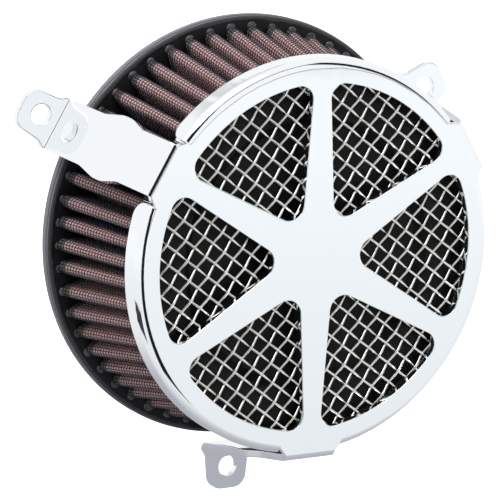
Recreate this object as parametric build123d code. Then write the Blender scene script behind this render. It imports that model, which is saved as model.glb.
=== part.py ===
from build123d import *
import math
import os

# Round tapered air filter behind a pressed spoke cover, in millimetres.
# +Y runs along the filter's axis, back towards the engine. +Z is up. The origin is the
# centre of the mounting plane, which the backs of the three lugs and the seal lie in.

# ---- Front cover: one steel pressing -------------------------------------------------
cover_diameter = 165.0        # over the rolled rim
cover_depth = 73.0            # front face to mounting plane
sheet = 3.0                   # thickness of the steel
rim_depth = 11.4              # front face to the rim's back edge
outer_bend = 4.0              # outside radius of every bend
inner_bend = 1.0              # inside radius of every bend
rim_margin = 9.9              # windows' outer arcs to the rim's outside
spoke_count = 6
hub_radius = 20.0
spoke_width_at_hub = 14.0
spoke_width_at_rim = 7.6
window_inner_corner = 6.5
window_outer_corner = 6.0

# ---- Three arms and mounting lugs of the cover ---------------------------------------
arm_angles = (30, 150, 270)   # anticlockwise from +X, seen from the front
arm_width = 23.2
arm_splay = 10.2              # degrees that the arms lean outwards
arm_foot_gap = 2.3            # rim's outside to the arm's outside, at the front face
pad_width = 28.2              # the arm's wide middle
pad_start = 21.0              # distances of the pad's four corners behind the front face
pad_full = 29.5
pad_full_end = 35.0
pad_end = 46.0
pad_corner = 12.0
ear_flare = 3.0               # how much wider the ear is where it meets the face
rim_end_corner = 6.0          # rounding of the rim's free ends beside an ear
lug_reach = 8.7               # arm's outside at its foot to the hole's centre
lug_hole_diameter = 8.8
lug_tip = 9.9                 # hole's centre to the lug's tip
lug_neck_width = 19.4
lug_tip_width = 16.8
lug_corner = 6.0

# ---- Woven wire screen behind the windows --------------------------------------------
wire_diameter = 1.3
wire_pitch = 6.0
screen_turn = 52.2            # degrees that the weave is turned
warp_phase = -0.1             # offset of the weave's crossings from the axis
weft_phase = -2.8
screen_edge_gap = 0.9         # wire ends to the inside of the rim
ring_width = 5.4              # retaining ring
ring_thickness = 2.0
ring_fit = 0.05               # ring to the inside of the rim

# ---- Filter element --------------------------------------------------------------------
pleat_count = 54
pleat_turn = 1.1              # degrees from +X to the first pleat's tip
pleat_depth = 17.0            # at the rear flange
fold_radius = 1.8             # middle of the pleated pack, at tips and valleys
screen_thickness = 0.35       # each wire screen of the pack
ply_thickness = 0.33          # each sheet of cotton gauze
ply_gap = 0.03
ply_count = 4
tip_chords = 2                # flats that stand for each fold's round
cap_clearance = 0.4           # screen's retaining ring to the end cap
cap_side_gap = 2.3            # end cap to the inside of the rim
cap_thickness = 8.0
cap_overhang = 2.2            # end cap beyond the pleat tips
cap_edge = 1.5
dish_margin = 7.2             # front ends of the valleys to the cap's sunk middle
dish_depth = 4.0
flange_side_gap = 3.65        # flange to the inside of the arms
flange_front = 6.9            # mounting plane to the flange's front face
flange_lip = 0.6              # mould step around the flange
flange_lip_height = 1.9
flange_edge = 0.8
tip_margin = 4.0              # pleat tips to the flange's outside
bore_margin = 5.0             # valleys to the flange's bore
bead_inset = 5.5              # middle of the sealing bead to the flange's outside
bead_width = 3.4
bead_height = 1.6
bead_edge = 0.6

# ---- Worked-out places -------------------------------------------------------------------
cover_radius = cover_diameter / 2
face_front = -cover_depth
face_back = face_front + sheet
rim_back = face_front + rim_depth
rim_inside = cover_radius - sheet
window_radius = cover_radius - rim_margin
screen_back = face_back + 2 * wire_diameter
ring_back = screen_back + ring_thickness
cap_front = ring_back + cap_clearance
cap_back = cap_front + cap_thickness
cap_radius = rim_inside - cap_side_gap
front_tip_radius = cap_radius - cap_overhang
flange_face = -flange_front
flange_rear = -bead_height
splay = math.radians(arm_splay)


def prism(outline, y_low, y_high):
    """Extrudes an outline drawn in X and Z along Y, from y_low to y_high."""
    return extrude(Plane.XZ.offset(-y_high) * outline, amount=y_high - y_low)


def rounded_face(corners):
    """Makes a face from (x, y, radius) corners, each rounded if its radius isn't 0."""
    face = make_face(Polyline([(x, y) for x, y, _ in corners], close=True))
    for x, y, radius in corners:
        if radius:
            corner = face.vertices().sort_by_distance((x, y, 0))[0]
            face = fillet(corner, radius)
    return face


def turned(profile):
    """Turns a profile drawn as X = radius, Y = y once round the filter's axis."""
    return revolve(Plane.XY * profile, axis=Axis.Y)


def at_angle(angle):
    """Turns a piece made along +X to an angle in the front view."""
    return Rot(0, -angle, 0)


def mirrored(half):
    """Closes (x, z) points of one side of an outline with their mirror images."""
    return half + [(x, -z, radius) for x, z, radius in reversed(half)]


def arm_outside(y):
    """Radius of an arm's outer surface at y, before its ends are bent."""
    return cover_radius + arm_foot_gap + (y - face_front) * math.tan(splay)


def arm_inside(y):
    """Radius of an arm's inner surface at y."""
    return arm_outside(y) - sheet / math.cos(splay)


lug_radius = arm_outside(-sheet) + lug_reach
flange_radius = arm_inside(flange_face) - flange_side_gap
pleat_tip_radius = flange_radius - tip_margin
valley_radius = pleat_tip_radius - pleat_depth
front_scale = front_tip_radius / pleat_tip_radius


# ---- Front cover -----------------------------------------------------------------------
def windows():
    """The sector windows: a disc without its spokes, with rounded corners."""
    taper = (spoke_width_at_hub - spoke_width_at_rim) / (window_radius - hub_radius) / 2
    half_at_centre = spoke_width_at_hub / 2 + taper * hub_radius
    spoke_end = window_radius + sheet
    half_at_end = half_at_centre - taper * spoke_end
    spoke = make_face(Polyline([(0, half_at_centre), (spoke_end, half_at_end),
                                (spoke_end, -half_at_end), (0, -half_at_centre)], close=True))
    opening = Circle(window_radius)
    for index in range(spoke_count):
        opening -= Rot(0, 0, arm_angles[0] + index * 360 / spoke_count) * spoke
    inner = [v for v in opening.vertices() if math.hypot(v.X, v.Y) < window_radius / 2]
    opening = fillet(inner, window_inner_corner)
    outer = [v for v in opening.vertices() if math.hypot(v.X, v.Y) > window_radius - 1e-3]
    return fillet(outer, window_outer_corner)


def dished_face():
    """The round face with its rolled rim."""
    return turned(rounded_face([
        (0, face_front, 0), (cover_radius, face_front, outer_bend), (cover_radius, rim_back, 0),
        (rim_inside, rim_back, 0), (rim_inside, face_back, inner_bend), (0, face_back, 0)]))


def rim_notch():
    """What is cut from the rim beside an ear, leaving the rim's free ends rounded."""
    half = arm_width / 2 + ear_flare
    bottom = rim_back - rim_end_corner
    notch = Rectangle(2 * half, 2 * rim_depth)
    flare = Rectangle(2 * (half + rim_end_corner), 2 * rim_end_corner)
    for side in (-1, 1):
        flare -= Pos(side * (half + rim_end_corner), -rim_end_corner) * Circle(rim_end_corner)
    outline = Pos(0, face_front) * notch + Pos(0, bottom + rim_end_corner) * flare
    plane = Plane((cover_radius - outer_bend, 0, 0), x_dir=(0, 0, 1), z_dir=(-1, 0, 0))
    return extrude(plane * outline, amount=-4 * outer_bend)


def arm():
    """One ear, arm and lug, made along +X."""
    root = window_radius + sheet / 2
    tip = lug_radius + lug_tip
    profile = rounded_face([
        (root, face_front, 0), (arm_outside(face_front), face_front, outer_bend),
        (arm_outside(-sheet), -sheet, inner_bend), (tip, -sheet, 0), (tip, 0, 0),
        (arm_inside(0), 0, outer_bend), (arm_inside(face_back), face_back, inner_bend),
        (root, face_back, 0)])
    strip = extrude(Plane.XY * profile, amount=pad_width, both=True)

    side = Plane((0, 0, 0), x_dir=(0, 1, 0), z_dir=(1, 0, 0))
    long_outline = rounded_face(mirrored([
        (face_front - sheet, arm_width / 2, 0), (face_front + pad_start, arm_width / 2, pad_corner),
        (face_front + pad_full, pad_width / 2, pad_corner),
        (face_front + pad_full_end, pad_width / 2, pad_corner),
        (face_front + pad_end, arm_width / 2, pad_corner), (sheet, arm_width / 2, 0)]))
    strip &= extrude(side * long_outline, amount=2 * tip)

    neck = arm_outside(-sheet) + inner_bend
    lug_outline = rounded_face(mirrored([
        (0, pad_width, 0), (neck, pad_width, 0), (neck, arm_width / 2, 0),
        (neck + sheet, lug_neck_width / 2, outer_bend), (tip, lug_tip_width / 2, lug_corner)]))
    strip &= prism(lug_outline, face_front - sheet, sheet)
    strip -= prism(Pos(lug_radius, 0) * Circle(lug_hole_diameter / 2), -2 * sheet, sheet)

    wide = arm_width / 2 + ear_flare
    edge = cover_radius - outer_bend
    ear = make_face(Polyline([(root, wide), (edge, wide), (edge + outer_bend, arm_width / 2),
                              (edge + outer_bend, -arm_width / 2), (edge, -wide), (root, -wide)],
                             close=True))
    return strip + prism(ear, face_front, face_back)


def front_cover():
    """The whole pressing: face, rim, windows, arms and lugs."""
    cover = dished_face()
    for angle in arm_angles:
        cover -= at_angle(angle) * rim_notch()
    for angle in arm_angles:
        cover += at_angle(angle) * arm()
    return cover - prism(windows(), face_front - sheet, face_back + sheet)


# ---- Wire screen -----------------------------------------------------------------------
def screen_wires(turn, phase, y):
    """One set of parallel wires across the cover, as separate rods in the plane y."""
    reach = rim_inside - screen_edge_gap
    count = math.ceil(reach / wire_pitch)
    rods = []
    for index in range(-count, count + 1):
        offset = index * wire_pitch + phase
        if abs(offset) > reach - wire_pitch / 2:
            continue
        length = 2 * math.sqrt(reach ** 2 - offset ** 2)
        rod = Rot(0, 90, 0) * Cylinder(wire_diameter / 2, length)
        rods.append(at_angle(turn) * Pos(0, y, offset) * rod)
    return Compound(children=rods)


def retaining_ring():
    """The flat ring that holds the screen against the back of the face."""
    outside = rim_inside - ring_fit
    return turned(rounded_face([
        (outside - ring_width, screen_back, 0), (outside, screen_back, 0),
        (outside, ring_back, 0), (outside - ring_width, ring_back, 0)]))


# ---- Filter element --------------------------------------------------------------------
def pleat_outline(offset, scale):
    """Points (x, z) of one surface of the pleated pack.

    offset is the surface's distance outwards from the middle of the pack, and scale is the
    size of this cross-section against the one at the rear flange.
    """
    half_pack = (2 * screen_thickness + ply_count * ply_thickness + (ply_count + 1) * ply_gap) / 2
    half_step = math.pi / pleat_count
    tip_centre = pleat_tip_radius - half_pack - fold_radius
    fold_centre = valley_radius + half_pack + fold_radius
    valley_centre = (fold_centre * math.cos(half_step), fold_centre * math.sin(half_step))
    along = (valley_centre[0] - tip_centre, valley_centre[1])
    span = math.hypot(*along)
    direction = math.atan2(along[1], along[0])
    # The flank is the inner tangent of the two fold circles, and its normal has this angle.
    normal = direction - math.acos(2 * fold_radius / span)
    tip_bend = fold_radius + offset
    valley_bend = fold_radius - offset
    half_pleat = []
    for step in range(tip_chords // 2 + 1):
        angle = normal * step / (tip_chords // 2)
        half_pleat.append((tip_centre + tip_bend * math.cos(angle), tip_bend * math.sin(angle)))
    for step in range(tip_chords // 2 + 1):
        angle = normal + math.pi + (half_step - normal) * step / (tip_chords // 2)
        half_pleat.append((valley_centre[0] + valley_bend * math.cos(angle),
                           valley_centre[1] + valley_bend * math.sin(angle)))
    pleat = [(x, -z) for x, z in reversed(half_pleat[1:-1])] + half_pleat
    points = []
    for index in range(pleat_count):
        turn = math.radians(pleat_turn) + 2 * half_step * index
        for x, z in pleat:
            points.append((scale * (x * math.cos(turn) - z * math.sin(turn)),
                           scale * (x * math.sin(turn) + z * math.cos(turn))))
    return points


def pleated_layer(outer_offset, inner_offset):
    """One sheet of the pleated pack, from the end cap back to the flange."""
    walls = []
    rings = {}
    for side, offset in (("outer", outer_offset), ("inner", inner_offset)):
        rear = [Vector(x, flange_face, z) for x, z in pleat_outline(offset, 1)]
        front = [Vector(x, cap_back, z) for x, z in pleat_outline(offset, front_scale)]
        for index in range(len(rear)):
            corners = [rear[index - 1], rear[index], front[index], front[index - 1]]
            walls.append(Face(Wire.make_polygon(corners)))
        rings[side] = (Wire.make_polygon(rear), Wire.make_polygon(front))
    for outer, inner in zip(rings["outer"], rings["inner"]):
        walls.append(Face(outer, [inner]))
    return Solid(Shell(walls))


def pleated_pack():
    """Every layer of the pack by name, from the outside in."""
    names = ["outer_wire_screen"]
    names += [f"cotton_gauze_{index + 1}" for index in range(ply_count)]
    names += ["inner_wire_screen"]
    thicknesses = [screen_thickness] + [ply_thickness] * ply_count + [screen_thickness]
    offset = (sum(thicknesses) + ply_gap * (len(names) - 1)) / 2
    layers = {}
    for name, thickness in zip(names, thicknesses):
        layers[name] = pleated_layer(offset, offset - thickness)
        offset -= thickness + ply_gap
    return layers


def front_end_cap():
    """The closed moulded cap at the small end, sunk in the middle."""
    dish_radius = front_scale * valley_radius - dish_margin
    return turned(rounded_face([
        (0, cap_front + dish_depth, 0), (dish_radius, cap_front + dish_depth, cap_edge),
        (dish_radius + dish_depth, cap_front, cap_edge), (cap_radius, cap_front, cap_edge),
        (cap_radius, cap_back, 0), (0, cap_back, 0)]))


def rear_flange():
    """The moulded flange at the large end, with its sealing bead."""
    bore = valley_radius - bore_margin
    lip_top = flange_face + flange_lip_height
    bead_outer = flange_radius - bead_inset + bead_width / 2
    bead_inner = bead_outer - bead_width
    return turned(rounded_face([
        (bore, flange_face, 0), (flange_radius - flange_lip, flange_face, flange_edge),
        (flange_radius - flange_lip, lip_top, 0), (flange_radius, lip_top, 0),
        (flange_radius, flange_rear, flange_edge), (bead_outer, flange_rear, 0),
        (bead_outer, 0, bead_edge), (bead_inner, 0, bead_edge),
        (bead_inner, flange_rear, 0), (bore, flange_rear, 0)]))


def main():
    """Builds every piece and writes it to the parts folder."""
    os.makedirs("parts", exist_ok=True)
    pieces = {
        "front_cover": front_cover(),
        "screen_warp_wires": screen_wires(screen_turn, warp_phase, face_back + wire_diameter / 2),
        "screen_weft_wires": screen_wires(screen_turn + 90, weft_phase, screen_back - wire_diameter / 2),
        "screen_retaining_ring": retaining_ring(),
        "front_end_cap": front_end_cap(),
        "rear_flange": rear_flange(),
        **pleated_pack(),
    }
    for name, piece in pieces.items():
        export_step(piece, f"parts/{name}.step")
        print(name, round(piece.volume / 1000, 2), "cm3")


main()
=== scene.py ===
"""Looks of a round tapered air filter behind a chromed spoke cover.

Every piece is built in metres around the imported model: +Y runs along the filter's axis,
back towards the engine, +Z is up, and the origin is the centre of the mounting plane.
"""
import cmath
import logging
import math
import random
from dataclasses import dataclass
from enum import Enum

import bmesh
import bpy
from bpy.types import Material, Mesh, Node, NodeSocket
from mathutils import Matrix, Vector


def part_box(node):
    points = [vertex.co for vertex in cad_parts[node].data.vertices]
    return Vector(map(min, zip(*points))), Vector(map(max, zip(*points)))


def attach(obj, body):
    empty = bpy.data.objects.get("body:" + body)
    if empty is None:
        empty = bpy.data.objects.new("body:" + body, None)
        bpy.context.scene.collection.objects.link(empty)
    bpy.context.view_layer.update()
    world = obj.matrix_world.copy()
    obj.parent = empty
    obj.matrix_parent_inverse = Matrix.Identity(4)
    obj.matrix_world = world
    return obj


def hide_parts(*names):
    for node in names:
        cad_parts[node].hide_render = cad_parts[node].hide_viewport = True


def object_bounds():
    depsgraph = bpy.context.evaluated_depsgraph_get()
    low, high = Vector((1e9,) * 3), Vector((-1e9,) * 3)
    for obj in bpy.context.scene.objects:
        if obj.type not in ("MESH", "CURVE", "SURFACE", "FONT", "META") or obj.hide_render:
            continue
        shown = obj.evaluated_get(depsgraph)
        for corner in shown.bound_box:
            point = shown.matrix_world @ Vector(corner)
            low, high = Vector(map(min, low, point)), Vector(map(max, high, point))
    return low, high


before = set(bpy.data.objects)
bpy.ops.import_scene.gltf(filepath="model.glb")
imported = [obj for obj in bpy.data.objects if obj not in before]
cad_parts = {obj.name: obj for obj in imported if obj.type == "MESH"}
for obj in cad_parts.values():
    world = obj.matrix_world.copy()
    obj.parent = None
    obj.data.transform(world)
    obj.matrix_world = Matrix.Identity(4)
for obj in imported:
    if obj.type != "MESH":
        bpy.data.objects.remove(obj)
CAD_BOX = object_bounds()
MM = 0.001
CREASE = 50.0           # degrees, from which a cast edge is shaded sharp
log = logging.getLogger("air_filter")


class Body(Enum):
    """The two bodies that the cover's slide parts."""

    ELEMENT = "filter_element"
    COVER = "cover"


# ---- Shared helpers ---------------------------------------------------------------------
def srgb(code: str) -> tuple[float, float, float, float]:
    """Turns an sRGB hex colour, written #RRGGBB, into Blender's linear one, opaque."""
    parts = [int(code[i:i + 2], 16) / 255 for i in (1, 3, 5)]
    linear = [c / 12.92 if c <= 0.04045 else ((c + 0.055) / 1.055) ** 2.4 for c in parts]
    return (linear[0], linear[1], linear[2], 1.0)


def placed(name: str, data: bpy.types.ID) -> bpy.types.Object:
    """Makes an object of some data and puts it into the scene."""
    made = bpy.data.objects.new(name, data)
    bpy.context.scene.collection.objects.link(made)
    return made


def piece(name: str, mesh: Mesh, body: Body,
          replaced: tuple[str, ...] = ()) -> bpy.types.Object:
    """Puts a finished mesh into the scene as a named piece.

    Args:
        name: The piece's name.
        mesh: Its mesh, with its place in its vertices.
        body: The body that it rides on.
        replaced: The CAD nodes that it stands for.

    Returns:
        The piece's object.
    """
    mesh.name = name
    made = placed(name, mesh)
    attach(made, body.value)
    if replaced:
        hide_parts(*replaced)
    log.info("%s: %d faces on %s", name, len(mesh.polygons), body.value)
    return made


def baked(source: bpy.types.Object) -> Mesh:
    """Turns an object with live modifiers into a plain mesh and removes the object."""
    bpy.context.view_layer.update()
    evaluated = source.evaluated_get(bpy.context.evaluated_depsgraph_get())
    mesh = bpy.data.meshes.new_from_object(evaluated)
    bpy.data.objects.remove(source)
    return mesh


def lathe(profile: list[tuple[float, float]], steps: int) -> bmesh.types.BMesh:
    """Turns a closed profile once round the filter's axis.

    Args:
        profile: Points (radius, y); a radius of 0 is a pole.
        steps: Number of steps round the axis.

    Returns:
        The turned shape, with its doubles merged and its normals outward.
    """
    shape = bmesh.new()
    rings = []
    for index in range(steps):
        turn = 2 * math.pi * index / steps
        rings.append([shape.verts.new((r * math.cos(turn), y, r * math.sin(turn))) for r, y in profile])
    for index in range(steps):
        here, there = rings[index], rings[(index + 1) % steps]
        for low in range(len(profile)):
            high = (low + 1) % len(profile)
            if profile[low][0] or profile[high][0]:
                shape.faces.new((here[low], here[high], there[high], there[low]))
    bmesh.ops.remove_doubles(shape, verts=shape.verts, dist=1e-7)
    bmesh.ops.dissolve_degenerate(shape, dist=1e-7, edges=shape.edges)
    bmesh.ops.recalc_face_normals(shape, faces=shape.faces)
    return shape


def cast_mesh(name: str, shape: bmesh.types.BMesh, finish: Material) -> Mesh:
    """Turns a shape into a smooth mesh with sharp creases, and frees the shape.

    Args:
        name: The mesh's name.
        shape: The shape.
        finish: The mesh's material.

    Returns:
        The mesh.
    """
    mesh = bpy.data.meshes.new(name)
    shape.to_mesh(mesh)
    shape.free()
    mesh.shade_smooth()
    mesh.set_sharp_from_angle(angle=math.radians(CREASE))
    mesh.materials.append(finish)
    return mesh


def rounded(corners: list[tuple[float, float, float]], steps: int = 4) -> list[tuple[float, float]]:
    """Rounds the corners of a closed profile with arcs.

    Args:
        corners: Points (radius, y, corner radius) in order.
        steps: Number of chords in each arc.

    Returns:
        The profile's points.
    """
    points = []
    for index, (x, y, bend) in enumerate(corners):
        here = Vector((x, y))
        if not bend:
            points.append((x, y))
            continue
        before = (Vector(corners[index - 1][:2]) - here).normalized()
        after = (Vector(corners[(index + 1) % len(corners)][:2]) - here).normalized()
        half = before.angle(after) / 2
        centre = here + (before + after).normalized() * bend / math.sin(half)
        start = here + before * bend / math.tan(half) - centre
        end = here + after * bend / math.tan(half) - centre
        for step in range(steps + 1):
            points.append(tuple(centre + start.slerp(end, step / steps).normalized() * bend))
    return points


class Builder:
    """Adds nodes to one tree. An input takes a constant, a socket, or a node's first output."""

    def __init__(self, tree: bpy.types.NodeTree) -> None:
        """Starts on a tree."""
        self.tree = tree

    def feed(self, node: Node, inputs: dict) -> None:
        """Sets or links a node's inputs.

        Args:
            node: The node.
            inputs: What each input gets, by its name or number.
        """
        for key, value in inputs.items():
            if isinstance(value, Node):
                value = value.outputs[0]
            if isinstance(value, NodeSocket):
                self.tree.links.new(value, node.inputs[key])
            else:
                node.inputs[key].default_value = value

    def add(self, kind: str, inputs: dict | None = None, **settings) -> Node:
        """Adds one node.

        Args:
            kind: The node's Blender type name.
            inputs: What each input gets, by its name or number.
            **settings: The node's own properties.

        Returns:
            The new node.
        """
        made = self.tree.nodes.new(kind)
        for name, value in settings.items():
            setattr(made, name, value)
        self.feed(made, inputs or {})
        return made

    def maths(self, operation: str, *terms: object) -> NodeSocket:
        """Adds a sum of sockets and numbers, and returns its result."""
        return self.add("ShaderNodeMath", dict(enumerate(terms)), operation=operation).outputs[0]

    def vector(self, operation: str, *terms: object) -> Node:
        """Adds a vector sum, and returns its node."""
        return self.add("ShaderNodeVectorMath", dict(enumerate(terms)), operation=operation)

    def scaled(self, vector: object, factor: object) -> Node:
        """Adds a vector times a number, and returns its node."""
        return self.add("ShaderNodeVectorMath", {0: vector, "Scale": factor}, operation="SCALE")

    def length(self, vector: object) -> NodeSocket:
        """Returns a vector's length."""
        return self.vector("LENGTH", vector).outputs["Value"]

    def xyz(self, **parts: object) -> Node:
        """Adds a vector with the given X, Y and Z, and returns its node."""
        return self.add("ShaderNodeCombineXYZ", parts)

    def axes(self, vector: object) -> bpy.types.bpy_prop_collection:
        """Returns a vector's X, Y and Z, by name."""
        return self.add("ShaderNodeSeparateXYZ", {0: vector}).outputs

    def remap(self, value: object, source: tuple = (0.0, 1.0), target: tuple = (0.0, 1.0),
              **settings) -> NodeSocket:
        """Returns a value mapped from one range onto another, held at both ends."""
        return self.add("ShaderNodeMapRange", {
            "Value": value, "From Min": source[0], "From Max": source[1],
            "To Min": target[0], "To Max": target[1]}, **settings).outputs[0]

    def mix(self, share: object, first: object, second: object, **settings) -> NodeSocket:
        """Returns two colours mixed, by the second's share."""
        return self.add("ShaderNodeMix", {0: share, 6: first, 7: second}, data_type="RGBA",
                        **settings).outputs[2]


class ShapeTree(Builder):
    """A Geometry Nodes tree with named sizes, which is run once into a plain mesh."""

    def __init__(self, name: str, sizes: dict[str, float | int]) -> None:
        """Makes the tree's inputs.

        Args:
            name: The tree's name.
            sizes: Its named inputs with their values; whole numbers are counts.
        """
        super().__init__(bpy.data.node_groups.new(name, "GeometryNodeTree"))
        self.name = name
        self.sizes = sizes
        sockets = self.tree.interface
        sockets.new_socket("Geometry", in_out="OUTPUT", socket_type="NodeSocketGeometry")
        sockets.new_socket("Section", in_out="INPUT", socket_type="NodeSocketGeometry")
        for key, value in sizes.items():
            kind = "NodeSocketInt" if isinstance(value, int) else "NodeSocketFloat"
            sockets.new_socket(key, in_out="INPUT", socket_type=kind)
        self.given = self.tree.nodes.new("NodeGroupInput").outputs

    def line(self, count: object, start: Node, step: Node) -> Node:
        """Adds a row of points, from start on by steps, and returns its node."""
        return self.add("GeometryNodeMeshLine", {
            "Count": count, "Start Location": start, "Offset": step})

    def swept(self, lines: Node) -> Node:
        """Sweeps the tree's Wire radius, with its Sides, along lines."""
        paths = self.add("GeometryNodeMeshToCurve", {"Mesh": lines})
        circle = self.add("GeometryNodeCurvePrimitiveCircle", {
            "Resolution": self.given["Sides"], "Radius": self.given["Wire radius"]})
        return self.add("GeometryNodeCurveToMesh", {
            "Curve": paths, "Profile Curve": circle, "Fill Caps": True})

    def run(self, result: Node, finish: Material,
            section: Mesh | None = None) -> Mesh:
        """Ends the tree, runs it and returns the plain mesh.

        Args:
            result: The node whose geometry the tree makes.
            finish: The material that it gets.
            section: The mesh that the tree works on, if it needs one.

        Returns:
            The finished mesh.
        """
        real = self.add("GeometryNodeRealizeInstances", {0: result})
        dressed = self.add("GeometryNodeSetMaterial", {0: real, "Material": finish})
        self.add("NodeGroupOutput", {0: dressed})
        holder = placed(self.name, section or bpy.data.meshes.new(self.name))
        modifier = holder.modifiers.new(self.name, "NODES")
        modifier.node_group = self.tree
        for item in self.tree.interface.items_tree:
            if item.item_type == "SOCKET" and item.in_out == "INPUT" and item.name in self.sizes:
                modifier[item.identifier] = self.sizes[item.name]
        return baked(holder)


# ---- Finishes -----------------------------------------------------------------------------
class Look(Builder):
    """One node material as it is built, with its Principled shader and Object coordinates."""

    def __init__(self, name: str, constants: dict) -> None:
        """Makes the material.

        Args:
            name: Its name.
            constants: The shader's plain values, by socket name.
        """
        self.material = bpy.data.materials.new(name)
        self.material.use_nodes = True
        super().__init__(self.material.node_tree)
        self.shader = self.tree.nodes["Principled BSDF"]
        self.place = self.add("ShaderNodeTexCoord").outputs["Object"]
        self.feed(self.shader, constants)

    def noise(self, size: float, detail: float, **more: float) -> NodeSocket:
        """Returns noise of a given size in metres, as a value."""
        return self.add("ShaderNodeTexNoise", {
            "Vector": self.place, "Scale": 1 / size, "Detail": detail, **more}).outputs["Fac"]

    def radius(self) -> NodeSocket:
        """Returns the distance from the filter's axis."""
        return self.length(self.vector("MULTIPLY", self.place, (1, 0, 1)))

    def ramp(self, value: object, *stops: tuple[float, str]) -> Node:
        """Turns a value into a colour.

        Args:
            value: The value.
            *stops: Positions and colours: the first, the last, then any between.

        Returns:
            The ramp's node.
        """
        made = self.add("ShaderNodeValToRGB", {"Fac": value})
        elements = made.color_ramp.elements
        for index, (position, colour) in enumerate(stops):
            stop = elements[index] if index < 2 else elements.new(position)
            stop.position = position
            stop.color = srgb(colour)
        return made

    def potted(self, base: object, noise: object, colour: str, start: float) -> NodeSocket:
        """Returns the base colour, wetted by the resin from y = start back, up to an uneven line."""
        creep = self.maths("MULTIPLY_ADD", noise, 3 * MM, self.axes(self.place)["Y"])
        return self.mix(self.remap(creep, (start, start + 1.5 * MM)), base, srgb(colour))

    def rough(self, value: object, low: float, high: float) -> None:
        """Varies the roughness between two values."""
        self.feed(self.shader, {"Roughness": self.remap(value, target=(low, high))})

    def bump(self, height: object, strength: float, distance: float, **more: object) -> None:
        """Roughens the surface by a height, of which 1 stands for distance in metres."""
        made = self.add("ShaderNodeBump", {
            "Height": height, "Strength": strength, "Distance": distance, **more})
        self.feed(self.shader, {"Normal": made})

    def coloured(self, colour: object) -> None:
        """Gives the surface its colour."""
        self.feed(self.shader, {"Base Color": colour})


@dataclass(frozen=True)
class ChromePlate:
    """Decorative chromium on polished nickel: a cool mirror with the faintest ripple."""

    tint: str = "#F4F7FA"
    haze_low: float = 0.02
    haze_high: float = 0.06
    haze_size: float = 28 * MM      # soft clouds left by the polishing wheel
    ripple_size: float = 7 * MM     # long orange peel of the plating
    ripple_depth: float = 0.012
    buffed_edge: float = 0.7 * MM   # radius to which buffing rounds the sheet's cut edges

    def build(self) -> Material:
        """Returns the finished material."""
        look = Look("chrome_plate", {"Base Color": srgb(self.tint), "Metallic": 1.0})
        look.rough(look.noise(self.haze_size, 3.0), self.haze_low, self.haze_high)
        edges = look.add("ShaderNodeBevel", {"Radius": self.buffed_edge}, samples=8)
        look.bump(look.noise(self.ripple_size, 1.0), self.ripple_depth, MM, Normal=edges)
        return look.material


@dataclass(frozen=True)
class DrawnWire:
    """Stainless wire, drawn bright and crimped: silver with fine draw marks and dull stains."""

    bright: str = "#E6E6E4"
    stained: str = "#DAD4CB"
    stain_size: float = 5 * MM
    mark_size: float = MM / 0.9
    roughness_low: float = 0.03
    roughness_high: float = 0.10

    def build(self) -> Material:
        """Returns the finished material."""
        look = Look("drawn_stainless_wire", {"Metallic": 1.0})
        look.coloured(look.ramp(look.noise(self.stain_size, 2.0), (0.42, self.bright), (0.72, self.stained)))
        look.rough(look.noise(self.mark_size, 1.0), self.roughness_low, self.roughness_high)
        return look.material


@dataclass(frozen=True)
class BrushedStrip:
    """Cold-rolled stainless strip: satin, with fine brush lines that run round the ring."""

    tint: str = "#C9C9C7"
    line_pitch: float = 0.35 * MM
    roughness_low: float = 0.26
    roughness_high: float = 0.42

    def build(self) -> Material:
        """Returns the finished material."""
        look = Look("brushed_stainless_strip", {"Base Color": srgb(self.tint), "Metallic": 1.0})
        lines = look.add("ShaderNodeTexNoise", noise_dimensions="1D")
        look.feed(lines, {"W": look.radius(), "Scale": 1 / self.line_pitch, "Detail": 3.0})
        look.rough(lines.outputs["Fac"], self.roughness_low, self.roughness_high)
        look.bump(lines.outputs["Fac"], 0.15, 0.1 * MM)
        return look.material


@dataclass(frozen=True)
class MouldedUrethane:
    """Soft black urethane, cast in a two-part mould: a dull skin with a greyish bloom."""

    black: str = "#09090A"
    bloom: str = "#1E1D21"
    skin_and_sheen: str = "#7B777E"           # the paler skin of the flange's rim, behind the parting line, with a painted sheen
    skin_from: float = -5.9 * MM    # the mould's parting line
    skin_wave: float = 1.5 * MM     # how far that line strays
    side: str = "#3F3E42"           # the flange's side in front of that line
    side_radius: float = 87.7 * MM
    side_wave: float = 2.0 * MM
    bloom_size: float = 9 * MM
    grain_size: float = 0.7 * MM
    pit_size: float = 9 * MM        # shallow creases where the cast skin has met itself
    roughness: float = 0.48
    gloss: float = 0.22

    def build(self) -> Material:
        """Returns the finished material."""
        look = Look("moulded_black_urethane", {
            "Roughness": self.roughness, "IOR": 1.49, "Specular IOR Level": self.gloss})
        clouds = look.noise(self.bloom_size, 6.0, Roughness=0.6)
        tint = look.ramp(clouds, (0.35, self.black), (0.75, self.bloom))
        ragged = look.maths("MULTIPLY_ADD", clouds, self.side_wave, look.radius())
        side = look.remap(ragged, (self.side_radius + 1.0 * MM, self.side_radius + 1.4 * MM))
        wave = look.maths("MULTIPLY_ADD", clouds, self.skin_wave, look.axes(look.place)["Y"])
        rear = look.remap(wave, (self.skin_from + 0.6 * MM, self.skin_from + 0.8 * MM))
        sided = look.mix(side, tint, srgb(self.side))
        # The rear band's pale grey is the mould's skin plus a painted sheen of the white surround.
        look.coloured(look.mix(look.maths("MULTIPLY", rear, side), sided, srgb(self.skin_and_sheen)))
        creases = look.add("ShaderNodeTexVoronoi", feature="DISTANCE_TO_EDGE")
        look.feed(creases, {"Vector": look.place, "Scale": 1 / self.pit_size, "Randomness": 1.0})
        low = look.remap(creases.outputs["Distance"], (0.0, 0.12), (0.0, 0.6))
        look.bump(look.maths("ADD", look.noise(self.grain_size, 3.0), low), 0.35, 0.12 * MM)
        return look.material


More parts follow.
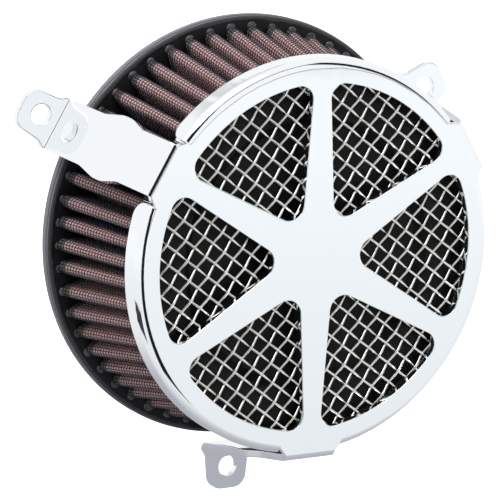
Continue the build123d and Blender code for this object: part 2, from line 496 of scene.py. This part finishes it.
@dataclass(frozen=True)
class PottingResin:
    """Black urethane resin that has crept up the pleats: smooth, glossier than the flange, with pale
    blotches of painted highlight.
    """

    black: str = "#1D1C1F"
    painted_highlight_grey: str = "#625E67"
    roughness: float = 0.34
    blotch_size: float = 6 * MM

    def build(self) -> Material:
        """Returns the finished material."""
        look = Look("potting_resin", {"Roughness": self.roughness, "IOR": 1.5})
        blotch = look.noise(self.blotch_size, 4.0)
        # Pale grey blotches paint in the highlight of the glossy hoods.
        look.coloured(look.ramp(blotch, (0.4, self.black), (0.8, self.painted_highlight_grey)))
        look.bump(blotch, 0.4, 0.5 * MM)
        return look.material


@dataclass(frozen=True)
class CoatedWire:
    """Aluminium wire in a baked blue-grey epoxy: smooth, half gloss, black where it is potted."""

    coat: str = "#3A404B"
    dark: str = "#20242B"
    potted: str = "#141416"
    potted_from: float = -9.8 * MM
    roughness: float = 0.34
    blotch_size: float = 4 * MM

    def build(self) -> Material:
        """Returns the finished material."""
        look = Look("epoxy_coated_wire", {"Roughness": self.roughness})
        blotch = look.noise(self.blotch_size, 3.0)
        tint = look.mix(blotch, srgb(self.coat), srgb(self.dark))
        look.coloured(look.potted(tint, blotch, self.potted, self.potted_from))
        return look.material


@dataclass(frozen=True)
class OiledGauze:
    """Open cotton gauze, oiled red: dusty pink on the ridges, red-brown in the valleys, partly from the oil
    and partly a painted highlight on the ridges and painted shade in the valleys.
    """

    # Ridge, flank and valley colours: the oiled cotton, plus a painted highlight on the ridges and painted
    # shade down the flanks and in the valleys.
    ridge: str = "#DCB0AF"
    flank: str = "#C4847E"
    valley: str = "#A0584F"
    flank_at: float = 0.72              # between the valleys, 0, and the ridges, 1
    potted: str = "#2B2022"
    valley_radius: float = 66 * MM
    ridge_radius: float = 86 * MM
    taper: float = -0.2                 # of the ridges' radius along the axis
    potted_from: float = -10.2 * MM
    thread_pitch: float = 0.75 * MM     # drawn twice as coarse as real gauze, so that it shows
    patch_size: float = 11 * MM
    patch_reach: float = 3 * MM
    roughness: float = 0.82
    nap: float = 0.25                   # sheen of the loose fibres

    def build(self) -> Material:
        """Returns the finished material."""
        look = Look("oiled_cotton_gauze", {
            "Roughness": self.roughness, "Sheen Weight": self.nap, "Sheen Roughness": 0.5})
        # Colour by distance from the axis: partly the oil, partly painted light and shade across the pleats.
        patches = look.noise(self.patch_size, 4.0)
        reach = look.maths("MULTIPLY_ADD", look.axes(look.place)["Y"], self.taper, look.radius())
        oil_and_shade_reach = look.maths("MULTIPLY_ADD", patches, self.patch_reach, reach)
        depth = look.remap(oil_and_shade_reach, (self.valley_radius, self.ridge_radius + self.patch_reach))
        tint = look.ramp(depth, (0.0, self.valley), (1.0, self.ridge), (self.flank_at, self.flank))
        weave = look.add("ShaderNodeMapping", {
            "Vector": look.add("ShaderNodeTexCoord").outputs["UV"],
            "Scale": (2 * math.pi / self.thread_pitch,) * 3})
        threads = look.axes(weave)
        cloth = look.maths("MAXIMUM", look.maths("SINE", threads["X"]), look.maths("SINE", threads["Y"]))
        gaps = look.remap(cloth, (-1.0, 1.0), (0.55, 1.0))
        woven = look.mix(1.0, tint, gaps, blend_type="MULTIPLY")
        look.coloured(look.potted(woven, patches, self.potted, self.potted_from))
        look.bump(cloth, 0.6, 0.15 * MM)
        return look.material


# ---- Front cover --------------------------------------------------------------------------
@dataclass
class FrontCover:
    """The pressed steel cover, with its cut edges eased as polishing leaves them."""

    edge_ease: float = 0.35 * MM
    ease_steps: int = 2
    edge_angle: float = 40.0        # degrees, from which an edge is a cut one
    flat_angle: float = 0.3         # degrees, below which neighbouring faces are one

    def build(self, finish: Material) -> None:
        """Builds the cover from the CAD pressing.

        Args:
            finish: The plated finish.
        """
        shape = bmesh.new()
        shape.from_mesh(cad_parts["front_cover"].data)
        bmesh.ops.remove_doubles(shape, verts=shape.verts, dist=1e-6)
        bmesh.ops.dissolve_limit(shape, angle_limit=math.radians(self.flat_angle),
                                 verts=shape.verts, edges=shape.edges)
        mesh = bpy.data.meshes.new("front_cover_plated")
        shape.to_mesh(mesh)
        shape.free()
        mesh.shade_smooth()
        mesh.materials.append(finish)
        holder = placed("front_cover_plated", mesh)
        bevel = holder.modifiers.new("ease", "BEVEL")
        bevel.width = self.edge_ease
        bevel.segments = self.ease_steps
        bevel.limit_method = "ANGLE"
        bevel.angle_limit = math.radians(self.edge_angle)
        weights = holder.modifiers.new("flatten", "WEIGHTED_NORMAL")
        weights.weight = 100
        piece("front_cover_plated", baked(holder), Body.COVER, ("front_cover",))


# ---- Woven wire screen --------------------------------------------------------------------
@dataclass
class WireSet:
    """One direction of the woven screen."""

    name: str
    node: str
    turn: float             # degrees, anticlockwise from +X, seen from the front
    across: float           # offset of the wires from the axis
    along: float            # offset of the crossings from the axis, along the wire
    over: float             # 1 where the wire is in front at the first crossing, -1 behind


@dataclass
class WovenScreen:
    """The crimped wire screen behind the windows, and the ring that holds it."""

    wire_diameter: float = 1.18 * MM
    pitch: float = 6.0 * MM
    turn: float = 52.2
    warp_phase: float = -0.1 * MM
    weft_phase: float = -2.8 * MM
    edge_gap: float = 0.9 * MM
    rim_inside: float = 79.5 * MM
    steps_per_pitch: int = 8
    wire_sides: int = 8
    wire_crease: float = 60.0       # degrees, which leaves only the cut ends sharp

    def sets(self) -> list[WireSet]:
        """Returns the two directions, from the weave's turn and phases."""
        return [
            WireSet("screen_warp", "screen_warp_wires", self.turn, self.warp_phase,
                    -self.weft_phase, 1.0),
            WireSet("screen_weft", "screen_weft_wires", self.turn + 90, self.weft_phase,
                    self.warp_phase, -1.0)]

    def wires(self, wire_set: WireSet, middle: float, finish: Material) -> Mesh:
        """Builds one direction of crimped wires.

        Args:
            wire_set: The direction and its offsets.
            middle: The y of the weave's middle.
            finish: The wire's finish.

        Returns:
            The wires' mesh.
        """
        reach = self.rim_inside - self.edge_gap
        rows = math.ceil(reach / self.pitch)
        steps = 2 * (rows + 1) * self.steps_per_pitch
        made = ShapeTree(wire_set.name, {
            "Wire radius": self.wire_diameter / 2, "Pitch": self.pitch, "Reach": reach,
            "First wire": wire_set.across - rows * self.pitch, "Wires": 2 * rows + 1,
            "Across": wire_set.across, "Along": wire_set.along, "Over": wire_set.over,
            "Middle": middle, "Steps": steps + 1, "Step": self.pitch / self.steps_per_pitch,
            "Start": wire_set.along - (rows + 1) * self.pitch,
            "Turn": -math.radians(wire_set.turn), "Sides": self.wire_sides})
        given = made.given
        stack = made.line(given["Wires"], made.xyz(Z=given["First wire"]), made.xyz(Z=given["Pitch"]))
        line = made.line(given["Steps"], made.xyz(X=given["Start"]), made.xyz(X=given["Step"]))
        rowed = made.add("GeometryNodeInstanceOnPoints", {"Points": stack, "Instance": line})
        flat = made.add("GeometryNodeRealizeInstances", {0: rowed})
        axes = made.axes(made.add("GeometryNodeInputPosition"))
        waves = []
        for axis, phase in (("X", "Along"), ("Z", "Across")):
            turns = made.maths("DIVIDE", made.maths("SUBTRACT", axes[axis], given[phase]), given["Pitch"])
            waves.append(made.maths("COSINE", made.maths("MULTIPLY", turns, math.pi)))
        crimp = made.maths("MULTIPLY", waves[0], waves[1])
        depth = made.maths("MULTIPLY", crimp, made.maths("MULTIPLY", given["Wire radius"], given["Over"]))
        crimped = made.add("GeometryNodeSetPosition", {
            "Geometry": flat, "Offset": made.xyz(Y=made.maths("SUBTRACT", given["Middle"], depth))})
        beyond = made.add("FunctionNodeCompare", {
            "A": made.length(made.xyz(X=axes["X"], Z=axes["Z"])), "B": given["Reach"]},
            operation="GREATER_THAN")
        trimmed = made.add("GeometryNodeDeleteGeometry", {"Geometry": crimped, "Selection": beyond})
        turned = made.add("GeometryNodeTransform", {
            "Geometry": made.swept(trimmed), "Rotation": made.xyz(Y=given["Turn"])})
        mesh = made.run(turned, finish)
        mesh.shade_smooth()
        mesh.set_sharp_from_angle(angle=math.radians(self.wire_crease))
        return mesh

    def build(self, wire: Material, strip: Material) -> None:
        """Builds both directions and dresses the retaining ring.

        Args:
            wire: The wires' finish.
            strip: The ring's finish.
        """
        middle = (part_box("screen_warp_wires")[0].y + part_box("screen_weft_wires")[1].y) / 2
        for wire_set in self.sets():
            mesh = self.wires(wire_set, middle, wire)
            piece(wire_set.name, mesh, Body.COVER, (wire_set.node,))
        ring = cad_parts["screen_retaining_ring"]
        ring.data.materials.clear()
        ring.data.materials.append(strip)


# ---- Filter element -----------------------------------------------------------------------
@dataclass
class PleatedPack:
    """Four sheets of oiled gauze between two coated wire screens, folded into pleats."""

    count: int = 54
    turn: float = 1.1               # degrees from +X to the first ridge
    ridge_radius: float = 85.995 * MM
    depth: float = 17.0 * MM
    fold_radius: float = 1.8 * MM
    screen: float = 0.35 * MM
    wire: float = 0.35 * MM
    ply: float = 0.33 * MM
    ply_gap: float = 0.03 * MM
    plies: int = 4
    front_scale: float = 75.0 / 85.995
    hoop_pitch: float = 1.8 * MM    # 14 wires to the inch along the filter
    axial_pitch: float = 1.41 * MM  # 18 wires to the inch round the pleats
    wire_sides: int = 4
    ridge_steps: int = 6
    valley_steps: int = 4
    sheet_rows: int = 5
    turn_play: float = 0.45         # degrees that a ridge may lean aside
    drop_play: float = 0.6 * MM     # how far a ridge may stand in
    join: float = 1e-6              # metres, within which two points are one
    seed: int = 7

    def __post_init__(self) -> None:
        """Draws each ridge's small errors once, so that all layers share them."""
        draw = random.Random(self.seed)
        self.errors = [(math.radians(draw.uniform(-self.turn_play, self.turn_play)),
                        draw.uniform(0, self.drop_play)) for _ in range(self.count)]
        self.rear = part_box("outer_wire_screen")[1].y
        self.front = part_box("outer_wire_screen")[0].y
        self.half_pack = (2 * self.screen + self.plies * self.ply
                          + (self.plies + 1) * self.ply_gap) / 2

    def outline(self, offset: float) -> list[complex]:
        """Works out one surface of the pack in the flange's plane.

        Args:
            offset: The surface's distance outwards from the pack's middle.

        Returns:
            The surface's points as X + Z i, with the first repeated at the end.
        """
        step = 2 * math.pi / self.count
        ridge = self.ridge_radius - self.half_pack - self.fold_radius
        valley = self.ridge_radius - self.depth + self.half_pack + self.fold_radius
        folds = []
        for index, (lean, drop) in enumerate(self.errors):
            angle = math.radians(self.turn) + step * index
            folds.append((cmath.rect(ridge - drop, angle + lean), 1))
            folds.append((cmath.rect(valley, angle + step / 2), -1))
        flanks = []
        for index, (centre, side) in enumerate(folds):
            along = folds[(index + 1) % len(folds)][0] - centre
            tilt = math.acos(side * 2 * self.fold_radius / abs(along))
            flanks.append(cmath.phase(along) - tilt)
        points = []
        for index, (centre, side) in enumerate(folds):
            bend = self.fold_radius + side * offset
            chords = self.ridge_steps if side > 0 else self.valley_steps
            start = flanks[index - 1]
            sweep = (flanks[index] - start) % (2 * math.pi)
            if side < 0:
                sweep -= 2 * math.pi
            for chord in range(chords + 1):
                points.append(centre + side * cmath.rect(bend, start + sweep * chord / chords))
        return points + points[:1]

    def section(self, offset: float) -> tuple[Mesh, float]:
        """Makes the line mesh that the trees sweep.

        Args:
            offset: The surface's distance outwards from the pack's middle.

        Returns:
            The mesh, with each point's distance along it, and its whole length.
        """
        points = self.outline(offset)
        mesh = bpy.data.meshes.new("pleat_section")
        mesh.from_pydata([(p.real, 0, p.imag) for p in points],
                         [(i, i + 1) for i in range(len(points) - 1)], [])
        run, distances = 0.0, [0.0]
        for here, there in zip(points, points[1:]):
            run += abs(there - here)
            distances.append(run)
        mesh.attributes.new("along", "FLOAT", "POINT").data.foreach_set("value", distances)
        return mesh, run

    def sheet(self, name: str, offset: float,
              finish: Material) -> tuple[Mesh, float]:
        """Builds one folded sheet of gauze, without its thickness.

        Args:
            name: The sheet's name.
            offset: Its middle's distance from the pack's middle.
            finish: The gauze's finish.

        Returns:
            Its mesh and its unfolded length at the flange.
        """
        section, length = self.section(offset)
        made = ShapeTree(name, {
            "Points": len(section.vertices), "Rear": self.rear, "Front": self.front,
            "Front scale": self.front_scale, "Rows": self.sheet_rows})
        given = made.given
        grid = made.add("GeometryNodeMeshGrid", {
            "Vertices X": given["Points"], "Vertices Y": given["Rows"]})
        place = made.add("GeometryNodeInputPosition")
        axes = made.axes(place)
        share = made.maths("ADD", axes["Y"], 0.5)
        nearest = made.maths("ROUND", made.maths(
            "MULTIPLY", made.maths("ADD", axes["X"], 0.5), made.maths("SUBTRACT", given["Points"], 1)))
        walked = made.add("GeometryNodeInputNamedAttribute", {"Name": "along"}, data_type="FLOAT")
        corner, distance = [made.add("GeometryNodeSampleIndex", data_type=kind, domain="POINT")
                            for kind in ("FLOAT_VECTOR", "FLOAT")]
        for sample, value in ((corner, place), (distance, walked)):
            made.feed(sample, {"Geometry": given["Section"], "Index": nearest, "Value": value})
        depth = made.remap(share, target=(given["Rear"], given["Front"]))
        scaled = made.scaled(corner, made.remap(share, target=(1.0, given["Front scale"])))
        where = made.vector("ADD", scaled, made.xyz(Y=depth))
        mapped = made.add("GeometryNodeStoreNamedAttribute", data_type="FLOAT2", domain="CORNER")
        made.feed(mapped, {"Geometry": grid, "Name": "UVMap", "Value": made.xyz(X=distance, Y=depth)})
        folded = made.add("GeometryNodeSetPosition", {"Geometry": mapped, "Position": where})
        joined = made.add("GeometryNodeMergeByDistance", {"Geometry": folded, "Distance": self.join})
        return made.run(joined, finish, section), length

    def wires(self, name: str, offset: float, finish: Material) -> Mesh:
        """Builds one coated wire screen: hoops round the pleats, and wires along them.

        Args:
            name: The screen's name.
            offset: The wires' distance outwards from the pack's middle.
            finish: The wires' finish.

        Returns:
            The screen's mesh.
        """
        section, length = self.section(offset)
        made = ShapeTree(name, {
            "Rear": self.rear, "Front": self.front, "Front scale": self.front_scale,
            "Hoops": int((self.rear - self.front) / self.hoop_pitch) + 1,
            "Hoop pitch": -self.hoop_pitch, "Wire radius": self.wire / 2,
            "Wires": int(length / self.axial_pitch), "Sides": self.wire_sides})
        given = made.given
        start = made.xyz(Y=made.maths("ADD", given["Rear"], -self.screen))
        ladder = made.line(given["Hoops"], start, made.xyz(Y=given["Hoop pitch"]))
        place = made.add("GeometryNodeInputPosition")
        size = made.remap(made.axes(place)["Y"], (given["Rear"], given["Front"]),
                          (1.0, given["Front scale"]))
        rings = made.add("GeometryNodeInstanceOnPoints", {
            "Points": ladder, "Instance": given["Section"], "Scale": made.xyz(X=size, Y=1.0, Z=size)})
        hoops = made.add("GeometryNodeRealizeInstances", {0: rings})
        closed = made.add("GeometryNodeMergeByDistance", {"Geometry": hoops, "Distance": self.join})
        loop = made.add("GeometryNodeMeshToCurve", {"Mesh": given["Section"]})
        feet = made.add("GeometryNodeCurveToPoints", {"Curve": loop, "Count": given["Wires"]})
        lifted = made.add("GeometryNodeSetPosition", {
            "Geometry": made.add("GeometryNodePointsToVertices", {0: feet}),
            "Offset": made.xyz(Y=given["Rear"])})
        inward = made.scaled(place, made.maths("SUBTRACT", given["Front scale"], 1))
        reach = made.xyz(Y=made.maths("SUBTRACT", given["Front"], given["Rear"]))
        travel = made.vector("ADD", made.vector("MULTIPLY", inward, (1, 0, 1)), reach)
        lines = made.add("GeometryNodeExtrudeMesh", mode="VERTICES")
        made.feed(lines, {"Mesh": lifted, "Offset": travel})
        both = made.add("GeometryNodeJoinGeometry")
        for source in (closed, lines):
            made.feed(both, {0: source})
        mesh = made.run(made.swept(both), finish, section)
        mesh.shade_smooth()
        return mesh

    def build(self, wire: Material, gauze: Material) -> None:
        """Builds every layer of the pack, from the outside in.

        Args:
            wire: The finish of the two wire screens.
            gauze: The finish of the sheets of gauze.
        """
        reach = self.half_pack - self.ply_gap / 2
        middle_of_wire = reach - self.screen / 2
        mesh = self.wires("outer_screen", middle_of_wire, wire)
        piece("outer_screen", mesh, Body.ELEMENT, ("outer_wire_screen",))
        offset = reach - self.screen - self.ply_gap
        for index in range(self.plies):
            name = f"gauze_ply_{index + 1}"
            mesh, length = self.sheet(name, offset - self.ply / 2, gauze)
            made = piece(name, mesh, Body.ELEMENT, (f"cotton_gauze_{index + 1}",))
            solid = made.modifiers.new("thickness", "SOLIDIFY")
            solid.thickness = self.ply
            solid.offset = 0
            mesh.shade_smooth()
            offset -= self.ply + self.ply_gap
        mesh = self.wires("inner_screen", -middle_of_wire, wire)
        piece("inner_screen", mesh, Body.ELEMENT, ("inner_wire_screen",))


@dataclass
class EndCap:
    """The closed urethane cap on the small end, sunk in the middle."""

    radius: float = 77.2 * MM
    dish_radius: float = 52.97 * MM
    dish_depth: float = 4.0 * MM
    edge: float = 1.5 * MM
    edge_steps: int = 5
    steps: int = 144
    rings: int = 8                  # across the dish, so that it can sag
    sag: float = 0.35 * MM          # how far the cast face is out of flat
    sag_waves: int = 5

    def build(self, finish: Material) -> None:
        """Builds the cap.

        Args:
            finish: The urethane finish.
        """
        front, back = (corner.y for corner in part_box("front_end_cap"))
        floor = front + self.dish_depth
        profile = rounded([
            (0, floor, 0), (self.dish_radius, floor, self.edge),
            (self.dish_radius + self.dish_depth, front, self.edge), (self.radius, front, self.edge),
            (self.radius, back, 0), (0, back, 0)], self.edge_steps)
        rings = [(self.dish_radius * share / self.rings, floor) for share in range(1, self.rings)]
        shape = lathe(profile[:1] + rings + profile[1:], self.steps)
        for vertex in shape.verts:
            radius = math.hypot(vertex.co.x, vertex.co.z)
            if vertex.co.y < back - self.edge and radius < self.dish_radius:
                turn = math.atan2(vertex.co.z, vertex.co.x)
                swell = math.sin(math.pi * radius / self.dish_radius)
                vertex.co.y += self.sag * swell * (1 + math.sin(self.sag_waves * turn)) / 2
        mesh = cast_mesh("end_cap", shape, finish)
        piece("end_cap", mesh, Body.ELEMENT, ("front_end_cap",))


@dataclass
class RearFlange:
    """The cast urethane flange, its sealing bead, and the resin that hoods each pleat's end."""

    radius: float = 89.98 * MM
    bore: float = 63.995 * MM
    lip: float = 0.6 * MM
    lip_height: float = 1.9 * MM
    edge: float = 0.8 * MM
    bore_edge: float = 0.3 * MM
    inner_edge: float = 0.2 * MM    # of the lip and of the bead's foot
    bead_radius: float = 84.495 * MM
    bead_width: float = 3.4 * MM
    bead_height: float = 1.6 * MM
    bead_edge: float = 0.6 * MM
    steps: int = 216
    parting_wave: float = 0.22 * MM
    hood_inset: float = 0.9 * MM
    hood_width: float = 2.1 * MM
    hood_depth: float = 1.9 * MM
    hood_height: float = 0.95 * MM
    hood_least: float = 0.75        # of those sizes
    hood_most: float = 1.15
    seed: int = 11

    def disc(self, finish: Material) -> Mesh:
        """Builds the flange itself.

        Args:
            finish: The urethane finish.

        Returns:
            The flange's mesh.
        """
        face, back = (corner.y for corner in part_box("rear_flange"))
        floor = back - self.bead_height
        step = face + self.lip_height
        inner = self.bead_radius - self.bead_width / 2
        outer = self.bead_radius + self.bead_width / 2
        shape = lathe(rounded([
            (self.bore, face, self.bore_edge), (self.radius - self.lip, face, self.edge),
            (self.radius - self.lip, step, 0), (self.radius, step, self.inner_edge),
            (self.radius, floor, self.edge), (outer, floor, self.inner_edge),
            (outer, back, self.bead_edge), (inner, back, self.bead_edge),
            (inner, floor, self.inner_edge), (self.bore, floor, self.bore_edge)]), self.steps)
        draw = random.Random(self.seed)
        waves = [(draw.randint(5, 40), draw.uniform(0, 2 * math.pi)) for _ in range(6)]
        for vertex in shape.verts:
            if abs(vertex.co.y - step) < 0.3 * MM:
                turn = math.atan2(vertex.co.z, vertex.co.x)
                vertex.co.y += self.parting_wave * sum(math.sin(n * turn + a) for n, a in waves) / 3
        return cast_mesh("flange", shape, finish)

    def hoods(self, pack: PleatedPack, finish: Material) -> Mesh:
        """Builds the rounded resin hood at the end of each ridge.

        Args:
            pack: The pleated pack, for its count and turn.
            finish: The resin finish.

        Returns:
            The hoods' mesh.
        """
        made = ShapeTree("resin_hoods", {
            "Count": pack.count, "Circle": pack.ridge_radius - self.hood_inset,
            "Turn": -math.radians(pack.turn), "Face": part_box("rear_flange")[0].y,
            "Width": self.hood_width, "Depth": self.hood_depth, "Height": self.hood_height,
            "Least": self.hood_least, "Most": self.hood_most, "Seed": self.seed})
        given = made.given
        circle = made.add("GeometryNodeMeshCircle", {"Vertices": given["Count"], "Radius": given["Circle"]})
        share = made.maths("DIVIDE", made.add("GeometryNodeInputIndex").outputs[0], given["Count"])
        spin = made.xyz(Y=made.maths("MULTIPLY", share, -2 * math.pi))
        vary = made.add("FunctionNodeRandomValue", data_type="FLOAT")
        made.feed(vary, {2: given["Least"], 3: given["Most"], "Seed": given["Seed"]})
        size = made.scaled(made.xyz(X=given["Depth"], Y=given["Height"], Z=given["Width"]),
                           vary.outputs[1])
        ball = made.add("GeometryNodeMeshUVSphere", {"Segments": 14, "Rings": 8, "Radius": 1.0})
        laid = made.add("GeometryNodeTransform", {
            "Geometry": circle, "Rotation": (math.pi / 2, 0, 0)})
        copies = made.add("GeometryNodeInstanceOnPoints", {
            "Points": laid, "Instance": ball, "Rotation": spin, "Scale": size})
        aligned = made.add("GeometryNodeTransform", {
            "Geometry": copies, "Translation": made.xyz(Y=given["Face"]),
            "Rotation": made.xyz(Y=given["Turn"])})
        mesh = made.run(aligned, finish)
        mesh.shade_smooth()
        return mesh

    def build(self, pack: PleatedPack, urethane: Material, resin: Material) -> None:
        """Builds the flange and its hoods.

        Args:
            pack: The pleated pack that the flange holds.
            urethane: The flange's finish.
            resin: The hoods' finish.
        """
        piece("flange", self.disc(urethane), Body.ELEMENT, ("rear_flange",))
        piece("resin_hoods", self.hoods(pack, resin), Body.ELEMENT)


# ---- Studio -------------------------------------------------------------------------------
@dataclass(frozen=True)
class Gap:
    """A darker patch of the tent, in degrees round from the front and up from level."""

    left: float
    right: float
    low: float
    high: float
    glow: float = 0.015     # its brightness, where the tent's is 1


@dataclass
class Studio:
    """A white table, a white tent with a dark opening for the camera, and the camera."""

    azimuth: float = -29.40
    elevation: float = 12.72
    roll: float = 1.69
    distance: float = 1.6413
    lens: float = 285.4
    target: tuple[float, float, float] = (-0.01101, -0.0365, -0.00335)
    clip_end: float = 50.0
    box_place: tuple[float, float, float] = (-0.35, -0.25, 0.9)
    box_size: float = 0.7
    box_watts: float = 6.0
    table_gap: float = 0.5 * MM
    table_size: float = 8.0
    # The table's tint and glow paint in the object's shadow: greyer and dimmer near it.
    table_shaded: str = "#F4F5FF"
    table_open: str = "#FCFEFF"
    table_seen: float = 1.12        # brightness to the camera
    table_near: float = 0.50        # brightness right under the object: the painted shadow's darkest
    table_beside: float = 0.40      # what it gains from pool_inside to pool_outside
    table_beyond: float = 0.14      # what it gains from there to table_bright
    pool_inside: float = 0.06       # metres from the axis
    pool_outside: float = 0.17
    table_bright: float = 0.90
    gap_soft: float = 1.2           # degrees
    gaps: tuple[Gap, ...] = (
        Gap(-38.0, -10.5, -34.0, 42.0),         # the camera's side
        Gap(-38.0, 47.0, 44.0, 48.5),           # over the card
        Gap(35.0, 47.0, -2.0, 48.5),            # beyond the card
        Gap(-10.5, 35.0, -4.7, -3.9),           # under the card, along the table's edge
        Gap(-120.0, -60.0, -31.0, -22.5, 0.05),  # a dark patch low on the left, painted on the table too
        Gap(155.0, 179.0, 30.0, 55.0, 0.72),    # the tent's zip, behind
        Gap(-178.0, -168.0, 30.0, 50.0, 0.76))

    def camera(self) -> None:
        """Places the camera, rolled a little about its own axis."""
        data = bpy.data.cameras.new("camera")
        data.lens = self.lens
        data.clip_end = self.clip_end
        made = placed("camera", data)
        turn, rise = math.radians(self.azimuth), math.radians(self.elevation)
        back = Vector((math.sin(turn) * math.cos(rise), -math.cos(turn) * math.cos(rise), math.sin(rise)))
        aim = (-back).to_track_quat("-Z", "Y").to_matrix()
        aim = aim @ Matrix.Rotation(math.radians(self.roll), 3, "Z")
        made.matrix_world = Matrix.Translation(Vector(self.target) + back * self.distance) @ aim.to_4x4()
        bpy.context.scene.camera = made

    def surround(self, nodes: Builder, way: NodeSocket) -> NodeSocket:
        """Works out the white tent, the card in front of it and the darker gaps.

        Args:
            nodes: The builder of the tree that gets the nodes.
            way: The direction from the object.

        Returns:
            Brightness in that direction, from the darkest gap's to 1.
        """
        axes = nodes.axes(way)
        across = nodes.maths("ARCTAN2", axes["X"], nodes.maths("MULTIPLY", axes["Y"], -1.0))
        rise = nodes.maths("ARCTAN2", axes["Z"], nodes.length(nodes.xyz(X=axes["X"], Y=axes["Y"])))
        soft = math.radians(self.gap_soft)
        shade = None
        for gap in self.gaps:
            past = []
            for angle, start, end in ((across, gap.left, gap.right), (rise, gap.low, gap.high)):
                off = nodes.maths("SUBTRACT", angle, math.radians(start + end) / 2)
                half = math.radians(end - start) / 2
                past.append(nodes.maths("SUBTRACT", nodes.maths("ABSOLUTE", off), half))
            dark = nodes.remap(nodes.maths("MAXIMUM", *past), (-soft / 2, soft), (gap.glow, 1.0))
            shade = nodes.maths("MINIMUM", dark, shade) if shade else dark
        return shade

    def world(self) -> None:
        """Makes the tent: plain white to the camera, with its card and gaps to the chrome."""
        world = bpy.data.worlds.new("tent")
        world.use_nodes = True
        bpy.context.scene.world = world
        nodes = Builder(world.node_tree)
        nodes.tree.nodes.clear()
        around = self.surround(nodes, nodes.add("ShaderNodeTexCoord").outputs["Generated"])
        seen = nodes.add("ShaderNodeLightPath").outputs["Is Camera Ray"]
        glow = nodes.add("ShaderNodeBackground", {
            "Color": (1, 1, 1, 1), "Strength": nodes.maths("MAXIMUM", around, seen)})
        nodes.add("ShaderNodeOutputWorld", {"Surface": glow})

    def table(self) -> None:
        """Lays the white table just under the lowest lug: it glows, with a painted shadow that greys it
        round the object and darker patches painted where the tent's gaps lie.
        """
        size, low = self.table_size / 2, CAD_BOX[0].z - self.table_gap
        mesh = bpy.data.meshes.new("table")
        mesh.from_pydata([(-size, -size, low), (size, -size, low), (size, size, low), (-size, size, low)],
                         [], [(0, 1, 2, 3)])
        material = bpy.data.materials.new("white_table")
        material.use_nodes = True
        nodes = Builder(material.node_tree)
        nodes.tree.nodes.clear()
        place = nodes.add("ShaderNodeTexCoord").outputs["Object"]
        # The tent's gaps painted on the table as darker patches.
        around = self.surround(nodes, place)
        reach = nodes.length(nodes.vector("MULTIPLY", place, (1, 1, 0)))
        clear = nodes.remap(reach, (self.pool_inside, self.pool_outside), interpolation_type="SMOOTHSTEP")
        near = nodes.maths("MULTIPLY_ADD", clear, self.table_beside, self.table_near)
        far = nodes.remap(reach, (self.pool_outside, self.table_bright), (0.0, self.table_beyond))
        tint = nodes.mix(clear, srgb(self.table_shaded), srgb(self.table_open))
        lit = nodes.maths("MULTIPLY", nodes.maths("ADD", near, far), around)
        seen = nodes.add("ShaderNodeLightPath").outputs["Is Camera Ray"]
        clean = nodes.maths("MULTIPLY_ADD", seen, self.table_seen, lit)
        glow = nodes.add("ShaderNodeEmission", {"Strength": clean, "Color": tint})
        nodes.add("ShaderNodeOutputMaterial", {"Surface": glow})
        mesh.materials.append(material)
        made = placed("table", mesh)

    def light(self) -> None:
        """Hangs one soft box above the object and aims it there."""
        data = bpy.data.lights.new("top_box", "AREA")
        data.size = self.box_size
        data.energy = self.box_watts
        made = placed("top_box", data)
        way = Vector(self.target) - Vector(self.box_place)
        made.matrix_world = (Matrix.Translation(self.box_place)
                             @ way.to_track_quat("-Z", "Y").to_matrix().to_4x4())

    def build(self) -> None:
        """Builds the whole studio."""
        bpy.context.scene.view_settings.view_transform = "Standard"
        self.camera()
        self.world()
        self.table()
        self.light()


def main() -> None:
    """Builds the studio and every sub-assembly."""
    logging.basicConfig(level=logging.INFO, format="%(name)s %(message)s")
    Studio().build()
    chrome = ChromePlate().build()
    urethane = MouldedUrethane().build()
    coated = CoatedWire().build()
    FrontCover().build(chrome)
    WovenScreen().build(DrawnWire().build(), BrushedStrip().build())
    pack = PleatedPack()
    pack.build(coated, OiledGauze().build())
    EndCap().build(urethane)
    RearFlange().build(pack, urethane, PottingResin().build())


if __name__ == "__main__":
    main()
